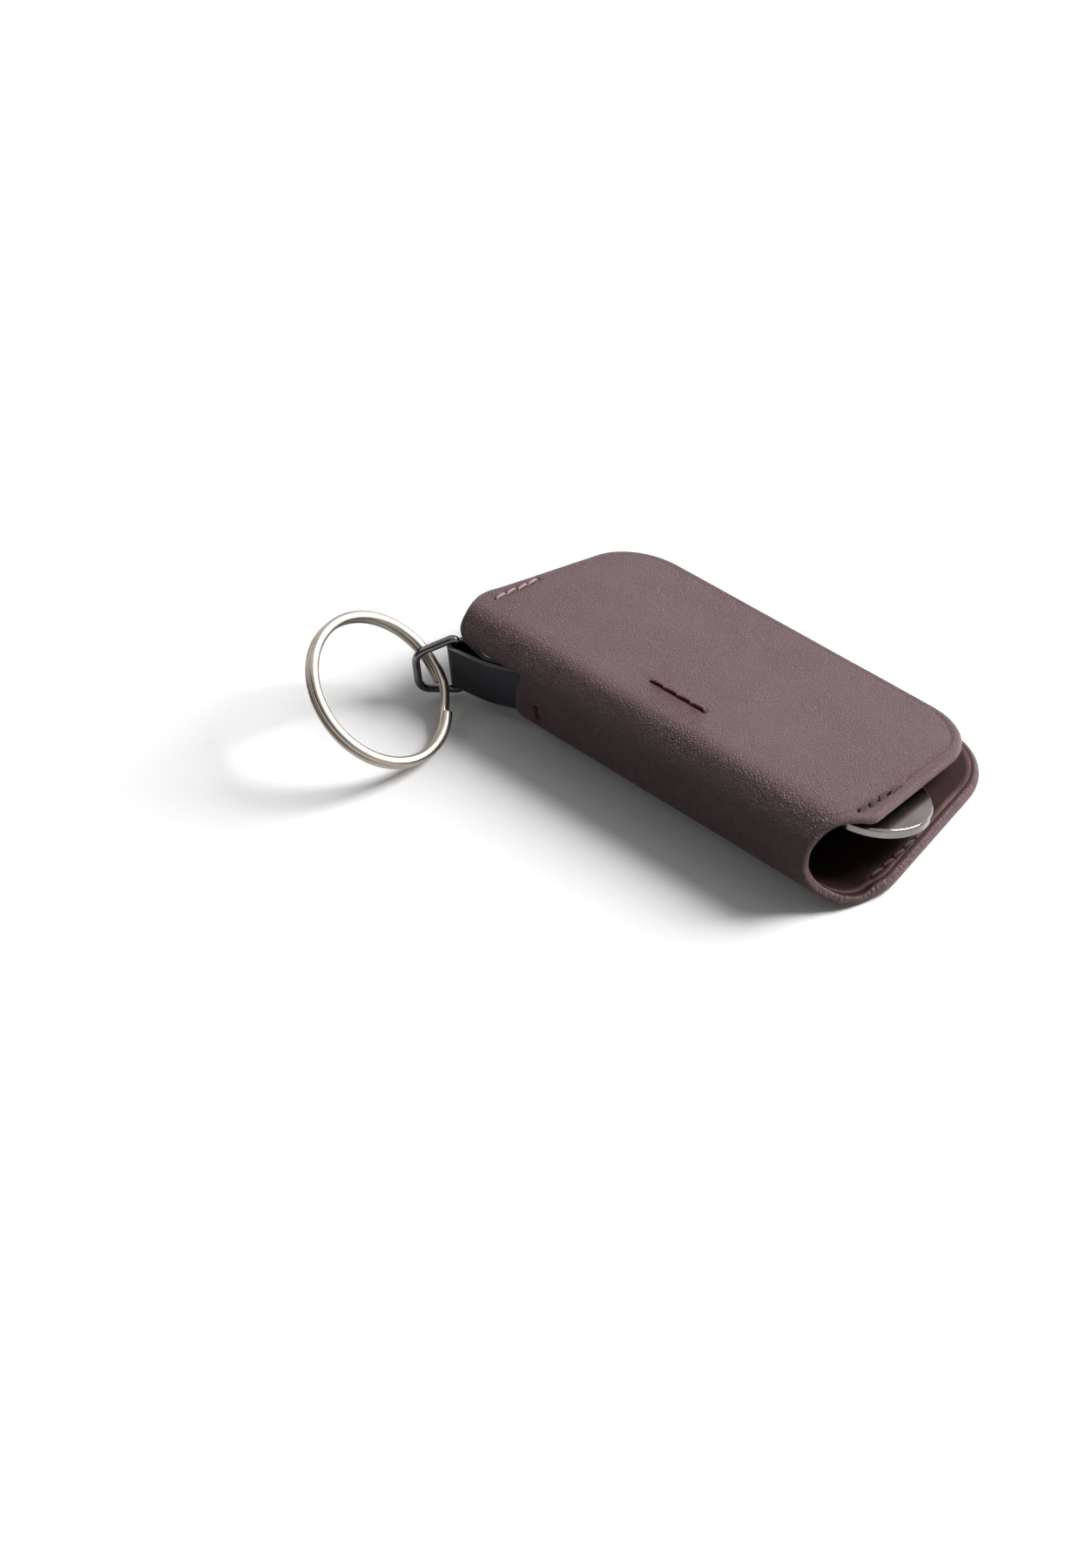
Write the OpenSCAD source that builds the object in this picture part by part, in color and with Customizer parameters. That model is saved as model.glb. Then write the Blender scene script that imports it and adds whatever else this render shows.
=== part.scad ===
// Folded leather key organiser, millimetres.
// X runs along the folded spine, +X at the end where the key bow shows.
// Y runs from the spine (-) to the closing edge (+).  Z is up.
// The origin is the middle of the underside, where it rests on the table.

/* [Cover] */
// Length of each half of the cover along the spine
cover_len = 91; // [82:1:126]
// How far the upper half sits towards the strap end of the lower half
skew = 4.2; // [0:0.2:5]
// Width from the rounded spine to the closing edge
cover_w = 52; // [46:1:70]
// Height over the rounded spine
cover_h = 17.4; // [15.6:0.2:24]
// Thickness of the outer leather
leather_t = 1.8; // [1.4:0.1:2.2]
// Thickness of the lining leather
lining_t = 1.4; // [1.2:0.1:1.8]
// Gap left between the two linings at the closing edge
close_gap = 0.2; // [0.1:0.05:0.8]
// Radius of the two corners at the closing edge
far_corner_r = 12; // [8:0.5:18]
// Radius where each end turns in to the spine
near_corner_r = 8; // [7:0.5:12]
// How much each end tapers towards the closing edge
end_taper = 2.8; // [0:0.1:4]
// How far the spine is cut back at the key end
setback_right = 5; // [3:0.5:8]
// How far the spine is cut back at the strap end
setback_left = 4.9; // [3:0.1:8]

/* [Strap] */
// Width of the strap
strap_w = 9.1; // [7.5:0.1:10]
// Thickness of the strap leather
strap_t = 1.2; // [0.9:0.1:1.5]
// Distance from the strap end of the cover to the slot in the spine
slot_in = 18.6; // [14:0.1:26]
// Length of the free strap, slot to loop bar
strap_free_len = 14.4; // [13:0.1:22]
// Length of the strap sewn behind the spine
strap_sewn_len = 16; // [10:0.5:30]
// Angle the free strap stands out from the spine
strap_out = 9; // [4:0.5:16]
// Angle the free strap hangs down
strap_droop = 5.4; // [0:0.2:8]

/* [Wire loop] */
// Side of the square wire
wire = 1.5; // [1.2:0.1:1.7]
// Distance from the bar to the outer end of the loop, wire middles
loop_reach = 8.2; // [7.6:0.1:12]
// Clear height inside the outer end of the loop
loop_end_clear = 7.8; // [7.4:0.1:9]
// Angle of the loop from the strap
loop_turn = 44; // [30:1:55]

/* [Split ring] */
// Outer diameter of the split ring
ring_d = 31; // [26:0.5:38]
// Radial width of the ring wire
ring_w = 1.9; // [1.5:0.1:2.1]
// Thickness of one of the two coils
coil_t = 1.3; // [1:0.05:1.4]
// Direction the ring's face looks, seen from above
ring_az = 17.6; // [0:1:30]
// Angle the ring's face looks up
ring_el = 50.5; // [40:0.5:65]

/* [Key and post] */
// Diameter of the round key bow
bow_d = 22.4; // [18:0.2:24]
// Thickness of the key
key_t = 2; // [1.6:0.1:2.3]
// Length of the key, bow edge to tip
key_len = 58; // [46:1:66]
// Width of the key blade
blade_w = 8.4; // [7:0.1:10]
// Distance of the post from the key end of the upper half
post_in = 7.5; // [7.2:0.1:12]
// Distance of the post from the spine side of the flat panel
post_y = 12.9; // [12.4:0.1:16]
// Diameter of the post barrel
barrel_d = 4.8; // [4:0.1:5.4]
// Diameter of the screw head
head_d = 7.2; // [6.4:0.1:7.6]

/* [Magnets and thread] */
// Diameter of the closing magnets
magnet_d = 8; // [6:0.5:9]
// Thickness of the closing magnets
magnet_t = 0.7; // [0.5:0.05:0.8]
// Thread diameter
thread_d = 0.55; // [0.4:0.05:0.65]
// Length of one stitch
stitch = 3.1; // [2.6:0.1:3.4]
// Distance of the end stitching from each end
sew_in = 3.2; // [2.6:0.1:5]

/* [Hidden] */
play = 0.05;
free_play = 0.1;
fine = 96;
mid = 48;
small = 24;
far_away = 200;

half_len = cover_len / 2;
up_shift = -skew / 2;
low_shift = skew / 2;
half_w = cover_w / 2;
spine_r = cover_h / 2;
spine_y = spine_r - half_w;
panel_t = leather_t + lining_t;
inner_r = spine_r - leather_t;

// slope of the upper panel, so that the linings meet at the closing edge
close_dy = half_w - spine_y;
close_dz = panel_t + close_gap - spine_r;
close_d = sqrt(close_dy * close_dy + close_dz * close_dz);
slope = asin((spine_r - panel_t) / close_d) - atan2(close_dz, close_dy);
panel_run = (half_w - spine_y - spine_r * sin(slope)) / cos(slope);

// the line the upper cover bends about
hinge_share = 0.55;
hinge_z = spine_r * (1 + hinge_share);
hinge_a = 180 - asin(hinge_share);
hinge_y = spine_y + spine_r * cos(hinge_a);
slot_low = leather_t + free_play;

lining_start = 0.3;
lining_inset = 0.6;
lining_y0 = spine_y + 2.3;

sew_n = 4;
sew_centre_n = 3;
sew_x = half_len - sew_in;
sew_y = 1.2;
sew_centre_y = 3.5;
sew_low_y = spine_y + 3.3;
sew_centre_low_y = spine_y + 5.5;
thread_sink = thread_d / 2 + play;
needle_d = thread_d + 3 * play;

near_over = 4.5;
near_y = spine_y + near_corner_r - near_over;
slot_x = up_shift - half_len + slot_in;
sewn_r = inner_r - play;
strap_y = spine_y - sewn_r + strap_t / 2;
tab_sew_x = slot_x + 3.8;
tab_sew_a = 8.5;
tab_depth = leather_t + play + strap_t;

// loop bar, turned inside the fold of the strap
bar_room = wire * sqrt(2) / 2 + free_play;
bar_y = strap_t / 2 + bar_room;
fold_r = bar_room + strap_t;
loop_bar_half = strap_w / 2 + 0.6;
loop_bar_r = 0.3;
loop_end_r = 1.9;
pass_share = 0.6;

ring_r = ring_d / 2;
ring_axis_r = ring_r - ring_w / 2;
ring_t = 2 * coil_t;
ring_tip = 90 - ring_el;
ring_hang = 65.6;
floor_gap = 0.04;

function turn_z(a, v) = [v[0] * cos(a) - v[1] * sin(a), v[0] * sin(a) + v[1] * cos(a), v[2]];
function turn_y(a, v) = [v[0] * cos(a) + v[2] * sin(a), v[1], v[2] * cos(a) - v[0] * sin(a)];
function tab_turn(v) = turn_z(strap_out, turn_y(-strap_droop, v));

tab_x = slot_x - strap_t / 2 - 4 * play;
tab_at = [tab_x, strap_y, spine_r];
bar_at = tab_at + tab_turn([-strap_free_len, bar_y, 0]);
pass_at = bar_at + tab_turn(turn_z(loop_turn, [-loop_reach * pass_share, 0, 0]));
pass_z = floor_gap + ring_r * sin(ring_tip) + ring_t / 2 * cos(ring_tip)
       - ring_axis_r * cos(ring_hang) * sin(ring_tip);

post_x = up_shift + half_len - post_in;
bow_r = bow_d / 2;
barrel_r = barrel_d / 2;
flange_r = 3.4;
flange_t = 0.7;
spacer_t = 0.7;
washer_t = 0.5;
head_t = 1.1;
key_top = -panel_t - spacer_t - free_play;
washer_top = key_top - key_t - free_play;
barrel_end = washer_top - washer_t;
bevel = 0.35;
screw_r = 1.2;
screw_len = 3.6;
drive_w = 0.9;
drive_deep = 0.6;

magnet_x = half_len - 17;
magnet_low_y = half_w - 8.2;
magnet_up_y = panel_run - 8.2;

leather_c = [0.32, 0.24, 0.24];
lining_c = [0.26, 0.19, 0.19];
strap_c = [0.12, 0.12, 0.14];
thread_c = [0.28, 0.12, 0.11];
dark_c = [0.3, 0.3, 0.32];
nickel_c = [0.75, 0.73, 0.7];
steel_c = [0.6, 0.6, 0.6];

// ---- plan and section shapes ----

// outline round circles at c with radii r, listed anticlockwise
function side_a(c, r, i, j) = atan2(c[j][1] - c[i][1], c[j][0] - c[i][0])
    - acos((r[i] - r[j]) / norm(c[j] - c[i]));
function at_angle(p, r, a) = p + r * [cos(a), sin(a)];

module rounded(c, r) {
    n = len(c);
    polygon([for (i = [0:n - 1]) for (k = [0:1])
        at_angle(c[(i + k) % n], r[(i + k) % n], side_a(c, r, i, (i + 1) % n))]);
    for (i = [0:n - 1])
        translate(c[i]) circle(r = r[i], $fn = fine);
}

module panel_plan(shift, inset) {
    fx = half_len - end_taper - far_corner_r;
    nx = half_len - near_corner_r;
    fy = half_w - far_corner_r;
    ny = near_y;
    translate([shift, 0])
    rounded([[nx, ny], [fx, fy], [-fx, fy], [-nx, ny]],
            [near_corner_r - inset, far_corner_r - inset,
             far_corner_r - inset, near_corner_r - inset]);
}

module spine_plan(shift) {
    left = shift - half_len + setback_left;
    right = up_shift + half_len - setback_right;
    translate([left, -half_w - 1])
        square([right - left, near_y + half_w + 1]);
}

module cover_plan(shift) {
    panel_plan(shift, 0);
    spine_plan(shift);
}

// solid wedge shape of the closed cover, d in from the outside
module wedge(d, over) {
    r = spine_r - d;
    reach = close_d + 2 * over;
    translate([spine_y, spine_r]) {
        circle(r = r, $fn = fine);
        difference() {
            union() {
                polygon([[0, 0], [0, -r], [close_dy + over, -r], [close_dy + over, 0]]);
                rotate(-slope)
                    square([reach, r]);
                polygon([[0, 0], [close_dy + over, -spine_r / 2], [close_dy + over, 0]]);
            }
            translate([close_dy + over, -far_away / 2])
                square(far_away);
            translate([0, -r - far_away])
                square(far_away);
            rotate(-slope)
                translate([-far_away / 2, r])
                    square(far_away);
        }
    }
}

module wrap_section() {
    difference() {
        wedge(0, 1);
        wedge(leather_t, 3);
    }
}

// everything on the upper cover's side of the bend line
module upper_side(shift) {
    lift = shift * [cos(hinge_a - 90), sin(hinge_a - 90)];
    translate([spine_y, spine_r] + lift)
        polygon([[0, 0],
                 [far_away, (close_dz - close_gap / 2) / close_dy * far_away],
                 [far_away, far_away],
                 [-far_away, far_away],
                 far_away * [cos(hinge_a), sin(hinge_a)]]);
}

module along_x() {
    translate([-far_away / 2, 0, 0])
        rotate([90, 0, 90])
            linear_extrude(height = far_away) children();
}

module upright() {
    translate([0, 0, -far_away / 2])
        linear_extrude(height = far_away) children();
}

// ---- frames ----

// z = 0 is the outside of the upper panel, y from where the flat begins
module upper_frame() {
    translate([0, spine_y, spine_r])
        rotate([-slope, 0, 0])
            translate([0, 0, spine_r]) children();
}

// z = 0 is the underside, z negative goes up into the lower panel
module lower_frame() {
    rotate([180, 0, 0]) children();
}

module tab_frame() {
    translate(tab_at)
        rotate([0, -strap_droop, strap_out]) children();
}

module loop_frame() {
    tab_frame()
        translate([-strap_free_len, bar_y, 0])
            rotate([0, 0, loop_turn]) children();
}

// ---- stitching ----

// a run along y from y = 0 on the outside face z = 0, right through depth
module thread(n, depth) {
    run = n * stitch;
    for (z = [-thread_sink, thread_sink - depth]) {
        translate([0, 0, z])
            rotate([-90, 0, 0]) cylinder(d = thread_d, h = run, $fn = small);
        for (y = [0, run])
            translate([0, y, z]) sphere(d = thread_d, $fn = small);
    }
    for (i = [0:n])
        translate([0, i * stitch, thread_sink - depth])
            cylinder(d = thread_d, h = depth - 2 * thread_sink, $fn = small);
}

module thread_room(n, depth) {
    run = n * stitch;
    edge = needle_d / 2;
    for (z = [-thread_sink, -depth - 1 + thread_sink])
        translate([-edge, -edge, z - (z < -thread_sink ? 0 : edge)])
            cube([needle_d, run + needle_d, 1 + edge]);
    for (i = [0:n])
        translate([0, i * stitch, -depth - 1])
            cylinder(d = needle_d, h = depth + 2, $fn = small);
}

module upper_runs() {
    for (x = [-sew_x, sew_x])
        upper_frame() translate([up_shift + x, sew_y, 0]) children(0);
    upper_frame()
        translate([up_shift - sew_centre_n * stitch / 2, sew_centre_y, 0])
            rotate([0, 0, -90]) children(1);
}

module lower_runs() {
    for (x = [-sew_x, sew_x])
        lower_frame() translate([low_shift + x, -sew_low_y - sew_n * stitch, 0]) children(0);
    lower_frame()
        translate([low_shift - sew_centre_n * stitch / 2, -sew_centre_low_y, 0])
            rotate([0, 0, -90]) children(1);
}

module tab_run() {
    translate([tab_sew_x, spine_y, spine_r])
        rotate([tab_sew_a, 0, 0])
            translate([0, -spine_r, -stitch / 2])
                rotate([90, 0, 0]) children();
}

// ---- cover ----

module cover_lower() {
    color(leather_c)
    difference() {
        intersection() {
            along_x() difference() {
                wrap_section();
                upper_side(0);
            }
            upright() cover_plan(low_shift);
            translate([-far_away / 2, -far_away / 2, -1])
                cube([far_away, far_away / 2 + half_w, far_away]);
        }
        translate([slot_x - far_away, -half_w - 1, slot_low])
            cube([far_away, spine_r + 1, far_away]);
        lower_runs() {
            thread_room(sew_n, panel_t);
            thread_room(sew_centre_n, panel_t);
        }
        tab_run() thread_room(1, tab_depth);
    }
}

module cover_upper() {
    color(leather_c)
    difference() {
        intersection() {
            along_x() intersection() {
                wrap_section();
                upper_side(play);
            }
            upright() cover_plan(up_shift);
        }
        translate([slot_x - far_away, -half_w - 1, -1])
            cube([far_away, spine_r + 1, hinge_z + play + 1]);
        upper_runs() {
            thread_room(sew_n, panel_t);
            thread_room(sew_centre_n, panel_t);
        }
    }
}

module lining_lower() {
    color(lining_c)
    difference() {
        translate([0, 0, leather_t])
            linear_extrude(height = lining_t)
                intersection() {
                    panel_plan(low_shift, lining_inset);
                    translate([-far_away / 2, lining_y0])
                        square(far_away);
                }
        for (x = [-magnet_x, magnet_x])
            translate([x, magnet_low_y, leather_t - 1])
                cylinder(d = magnet_d + 2 * play, h = 1 + magnet_t + play, $fn = mid);
        lower_runs() {
            thread_room(sew_n, panel_t);
            thread_room(sew_centre_n, panel_t);
        }
    }
}

module lining_upper() {
    color(lining_c)
    difference() {
        intersection() {
            upper_frame()
                translate([-far_away / 2, lining_start, -panel_t])
                    cube([far_away, 2 * cover_w, lining_t]);
            upright() panel_plan(up_shift, lining_inset);
        }
        upper_frame() {
            for (x = [-magnet_x, magnet_x])
                translate([x, magnet_up_y, -leather_t - magnet_t - play])
                    cylinder(d = magnet_d + 2 * play, h = 1 + magnet_t, $fn = mid);
            translate([post_x, post_y, -leather_t - flange_t - play])
                cylinder(r = flange_r + play, h = 1 + flange_t, $fn = mid);
            translate([post_x, post_y, -panel_t - 1])
                cylinder(r = barrel_r + play, h = panel_t + 1, $fn = mid);
        }
        upper_runs() {
            thread_room(sew_n, panel_t);
            thread_room(sew_centre_n, panel_t);
        }
    }
}

module magnets_lower() {
    color(steel_c)
    for (x = [-magnet_x, magnet_x])
        translate([x, magnet_low_y, leather_t])
            cylinder(d = magnet_d, h = magnet_t, $fn = mid);
}

module magnets_upper() {
    color(steel_c)
    upper_frame()
        for (x = [-magnet_x, magnet_x])
            translate([x, magnet_up_y, -leather_t - magnet_t])
                cylinder(d = magnet_d, h = magnet_t, $fn = mid);
}

module stitches_lower() {
    color(thread_c)
    lower_runs() {
        thread(sew_n, panel_t);
        thread(sew_centre_n, panel_t);
    }
}

module stitches_upper() {
    color(thread_c)
    upper_runs() {
        thread(sew_n, panel_t);
        thread(sew_centre_n, panel_t);
    }
}

// ---- strap ----

module strap_sewn() {
    start = slot_x;
    color(strap_c)
    difference() {
        intersection() {
            translate([start, spine_y, spine_r])
                rotate([0, 90, 0])
                    difference() {
                        cylinder(r = sewn_r, h = strap_sewn_len, $fn = fine);
                        translate([0, 0, -1])
                            cylinder(r = sewn_r - strap_t, h = strap_sewn_len + 2, $fn = fine);
                    }
            translate([start - 1, -half_w, spine_r - strap_w / 2])
                cube([strap_sewn_len + 2, spine_r, strap_w]);
        }
        tab_run() thread_room(1, tab_depth);
    }
}

module tab_stitch() {
    color(thread_c)
    tab_run() thread(1, tab_depth);
}

module strap_shape() {
    glue = 6;
    tail = 3;
    translate([-strap_free_len, -strap_t / 2])
        square([strap_free_len, strap_t]);
    difference() {
        translate([-strap_free_len, bar_y]) circle(r = fold_r, $fn = mid);
        translate([-strap_free_len, bar_y]) circle(r = bar_room, $fn = mid);
        translate([-strap_free_len, bar_y - 2 * fold_r]) square(4 * fold_r);
    }
    polygon([[-strap_free_len, bar_y + bar_room],
             [-strap_free_len + glue, strap_t / 2],
             [-tail, strap_t / 2],
             [-tail, 1.5 * strap_t],
             [-strap_free_len + glue, 1.5 * strap_t],
             [-strap_free_len, bar_y + fold_r]]);
}

module strap_free() {
    color(strap_c) {
        translate([tab_x, strap_y, spine_r - strap_w / 2])
            cylinder(d = strap_t, h = strap_w, $fn = small);
        intersection() {
            tab_frame()
                translate([0, 0, -strap_w / 2])
                    linear_extrude(height = strap_w) strap_shape();
            translate([tab_x - far_away, -far_away / 2, -1])
                cube(far_away);
        }
    }
}

// ---- loop and ring ----

module loop_outline(grow) {
    bar_c = -wire / 2 - loop_bar_r;
    end_c = -loop_reach + wire / 2 + loop_end_r;
    bar_z = loop_bar_half - loop_bar_r;
    end_z = loop_end_clear / 2 - loop_end_r;
    rounded([[bar_c, -bar_z], [bar_c, bar_z], [end_c, end_z], [end_c, -end_z]],
            [loop_bar_r + grow, loop_bar_r + grow, loop_end_r + grow, loop_end_r + grow]);
}

module wire_loop() {
    color(dark_c)
    loop_frame()
        rotate([90, 0, 0])
            translate([0, 0, -wire / 2])
                linear_extrude(height = wire)
                    difference() {
                        loop_outline(wire);
                        loop_outline(0);
                    }
}

module split_ring() {
    round_r = 0.45;
    rx = ring_w / 2 - round_r;
    rz = coil_t / 2 - round_r + play / 2;
    color(nickel_c)
    translate([pass_at[0], pass_at[1], pass_z])
        rotate([0, ring_tip, ring_az])
            rotate([0, 0, ring_hang])
                translate([-ring_axis_r, 0, 0])
                    rotate_extrude($fn = fine)
                        for (z = [-coil_t / 2, coil_t / 2])
                            translate([ring_axis_r, z * (1 - play / coil_t)])
                                rounded([[rx, -rz], [rx, rz], [-rx, rz], [-rx, -rz]],
                                        [round_r, round_r, round_r, round_r]);
}

// ---- key and post ----

module post_frame() {
    upper_frame() translate([post_x, post_y, 0]) children();
}

module post_barrel() {
    color(steel_c)
    post_frame()
        difference() {
            union() {
                translate([0, 0, -leather_t - flange_t])
                    cylinder(r = flange_r, h = flange_t, $fn = mid);
                translate([0, 0, barrel_end])
                    cylinder(r = barrel_r, h = -leather_t - flange_t / 2 - barrel_end, $fn = mid);
            }
            translate([0, 0, barrel_end - 1])
                cylinder(r = screw_r + play, h = screw_len + 1 + free_play, $fn = mid);
        }
}

module disc_with_hole(top, thick, r, hole_r) {
    translate([0, 0, top - thick])
        difference() {
            cylinder(r = r, h = thick, $fn = mid);
            translate([0, 0, -1]) cylinder(r = hole_r, h = thick + 2, $fn = mid);
        }
}

module post_spacer() {
    color(strap_c)
    post_frame() disc_with_hole(-panel_t, spacer_t, head_d / 2, barrel_r + play);
}

module post_washer() {
    color(steel_c)
    post_frame() disc_with_hole(washer_top, washer_t, head_d / 2, barrel_r + play);
}

module post_screw() {
    color(steel_c)
    post_frame()
        difference() {
            union() {
                translate([0, 0, barrel_end - head_t])
                    cylinder(r1 = head_d / 2 - bevel, r2 = head_d / 2, h = bevel, $fn = mid);
                translate([0, 0, barrel_end - head_t + bevel])
                    cylinder(r = head_d / 2, h = head_t - bevel, $fn = mid);
                translate([0, 0, barrel_end - play])
                    cylinder(r = screw_r, h = screw_len, $fn = mid);
            }
            translate([-head_d, -drive_w / 2, barrel_end - head_t - 1])
                cube([2 * head_d, drive_w, 1 + drive_deep]);
        }
}

module blade_outline() {
    tip = bow_r - key_len;
    low = -blade_w / 2;
    step = (key_len - bow_d - 6) / 6;
    cuts = [1.2, 2.6, 1.6, 3, 2.2, 1.4];
    teeth = [for (i = [0:5]) for (k = [0, 0.3, 0.6])
        [tip + 4 + (i + k) * step, low + (k == 0 ? 0.8 : cuts[i])]];
    polygon(concat([[0, blade_w / 2], [tip + 2.2, blade_w / 2], [tip, 0.8],
                    [tip, -0.8], [tip + 2.2, low + 0.8]], teeth, [[-bow_r - 0.6, low], [0, low]]));
}

module key() {
    groove = 1.7;
    deep = 0.55;
    color(nickel_c)
    post_frame()
        translate([0, 0, key_top - key_t])
            difference() {
                union() {
                    cylinder(r1 = bow_r - bevel, r2 = bow_r, h = bevel, $fn = fine);
                    translate([0, 0, bevel])
                        cylinder(r = bow_r, h = key_t - 2 * bevel, $fn = fine);
                    translate([0, 0, key_t - bevel])
                        cylinder(r1 = bow_r, r2 = bow_r - bevel, h = bevel, $fn = fine);
                    linear_extrude(height = key_t) blade_outline();
                }
                translate([0, 0, -1])
                    cylinder(r = barrel_r + 2 * free_play, h = key_t + 2, $fn = mid);
                for (z = [deep - 1, key_t - deep])
                    translate([-key_len, z > 0 ? 0.7 : -0.9, z])
                        cube([key_len - bow_r - 2.5, groove, 1]);
            }
}

cover_lower();
lining_lower();
magnets_lower();
stitches_lower();
strap_sewn();
tab_stitch();
cover_upper();
lining_upper();
magnets_upper();
stitches_upper();
post_barrel();
post_spacer();
post_washer();
post_screw();
key();
strap_free();
wire_loop();
split_ring();
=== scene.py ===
import math
import bpy
import bmesh
import numpy as np
from mathutils import Matrix, Vector, noise


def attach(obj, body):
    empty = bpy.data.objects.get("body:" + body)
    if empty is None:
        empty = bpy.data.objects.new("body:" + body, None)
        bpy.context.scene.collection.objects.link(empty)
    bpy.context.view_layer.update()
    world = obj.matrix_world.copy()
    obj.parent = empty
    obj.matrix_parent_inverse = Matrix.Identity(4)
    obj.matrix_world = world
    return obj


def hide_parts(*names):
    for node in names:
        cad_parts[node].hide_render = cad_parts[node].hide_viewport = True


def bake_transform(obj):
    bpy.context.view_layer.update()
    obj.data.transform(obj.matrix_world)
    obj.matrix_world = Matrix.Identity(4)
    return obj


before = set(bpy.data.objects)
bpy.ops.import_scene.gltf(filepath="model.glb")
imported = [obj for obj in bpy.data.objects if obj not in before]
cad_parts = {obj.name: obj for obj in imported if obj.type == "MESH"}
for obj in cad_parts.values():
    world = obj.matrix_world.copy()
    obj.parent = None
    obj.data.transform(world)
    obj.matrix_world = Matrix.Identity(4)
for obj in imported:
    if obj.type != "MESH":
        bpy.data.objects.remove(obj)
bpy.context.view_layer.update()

# Sizes are in millimetres and repeat those of part.scad; finish_mesh scales to metres. Only the
# blends, the floor, the lights and the camera are written in metres.
MM = 0.001
# a cover half: half its width, half its length, how far it lies off the middle (lower +, upper -)
HALF_W, HALF_LEN, SHIFT = 26.0, 45.5, 2.1
# corner radii at the closing edge and by the spine, and how much shorter each end is at that edge
FAR_R, NEAR_R, TAPER = 12.0, 8.0, 2.8
# the spine is an arc of this radius about this y
SPINE_R, SPINE_Y = 8.7, -17.3
# y of the middle of the corners by the spine
NEAR_Y = SPINE_Y + NEAR_R - 4.5
# thickness of leather and lining; how far the lining sheet stands out of the skin and lies in it
LEATHER, LINING = 1.8, 1.4
LIN_PROUD, LIN_SUNK = 0.2, 0.1
# the upper half comes down towards the closing edge at this angle
SLOPE = math.radians(14.2215)
SLOPE_SIN, SLOPE_COS = math.sin(SLOPE), math.cos(SLOPE)

# The cover is one strip. s runs along it from the closing edge of the lower half, round the
# spine, to the closing edge of the upper half.
LOW_LEN = HALF_W - SPINE_Y
ARC_LEN = SPINE_R * (math.pi + SLOPE)
UP_LEN = (HALF_W - SPINE_Y - SPINE_R * SLOPE_SIN) / SLOPE_COS
S_UP = LOW_LEN + ARC_LEN
# the two skins meet at S_SEAM; left of the slot the upper one starts at S_HINGE
S_SEAM = LOW_LEN + SPINE_R * math.radians(30)
S_HINGE = LOW_LEN + SPINE_R * (math.radians(90) + math.asin(0.55))
SLOT_X = -29.0
# the lip over the strap: its left end, and how far it is set back beside the slot
LIP_X, LIP_BACK = -45.7, 1.0
LOW_LEFT_X = SHIFT - HALF_LEN + 1.1
# edge rounding round the spine, and how much more it is where the leather is turned in
RIM, TURNED = 0.62, 0.72
# the bend between spine and top stands proud of the arc: share, angle, angular width
BEND, BEND_AT, BEND_WIDE = 0.06, math.radians(105), math.radians(15)


# ---- mesh helpers ----

def smooth01(t):
    """0 to 1 with level ends as t goes from 0 to 1."""
    t = np.clip(t, 0, 1)
    return t * t * (3 - 2 * t)


UV_UNIT = 100  # one unit of UV is this many millimetres of leather


def finish_mesh(name, verts, faces, uv, attrs, mats, mat_index, body):
    """Object made of vertices and UVs in mm, with point attributes, riding on body.

    uv, attrs, mat_index and body may be None.
    """
    me = bpy.data.meshes.new(name)
    me.from_pydata((np.asarray(verts, float) * MM).tolist(), [], faces)
    me.validate()
    if uv is not None:
        layer = me.uv_layers.new(name="UVMap")
        loops = np.zeros(len(me.loops), int)
        me.loops.foreach_get("vertex_index", loops)
        layer.data.foreach_set("uv", (np.asarray(uv, float)[loops] / UV_UNIT).ravel())
    for key, values in (attrs or {}).items():
        at = me.attributes.new(key, "FLOAT", "POINT")
        at.data.foreach_set("value", np.asarray(values, np.float32))
    for m in mats:
        me.materials.append(m)
    if mat_index is not None:
        me.polygons.foreach_set("material_index", np.asarray(mat_index, np.int32))
    bm = bmesh.new()
    bm.from_mesh(me)
    bmesh.ops.recalc_face_normals(bm, faces=bm.faces)
    bm.to_mesh(me)
    bm.free()
    me.polygons.foreach_set("use_smooth", np.ones(len(me.polygons), bool))
    ob = bpy.data.objects.new(name, me)
    bpy.context.collection.objects.link(ob)
    if body:
        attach(ob, body)
    return ob


# a corner of the outline grows out by at most this many rims
MITRE = 1.3
# shifts the inner face's grain against the outer one's
INNER_UV = [0.37, 41.0]
# the rounded edge: angles of its section, and how far its middle bulges beyond the rim
RIM_STEPS = [math.radians(a) for a in (18, 36, 54, 72, 90)]
BULGE = 1.02


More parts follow.
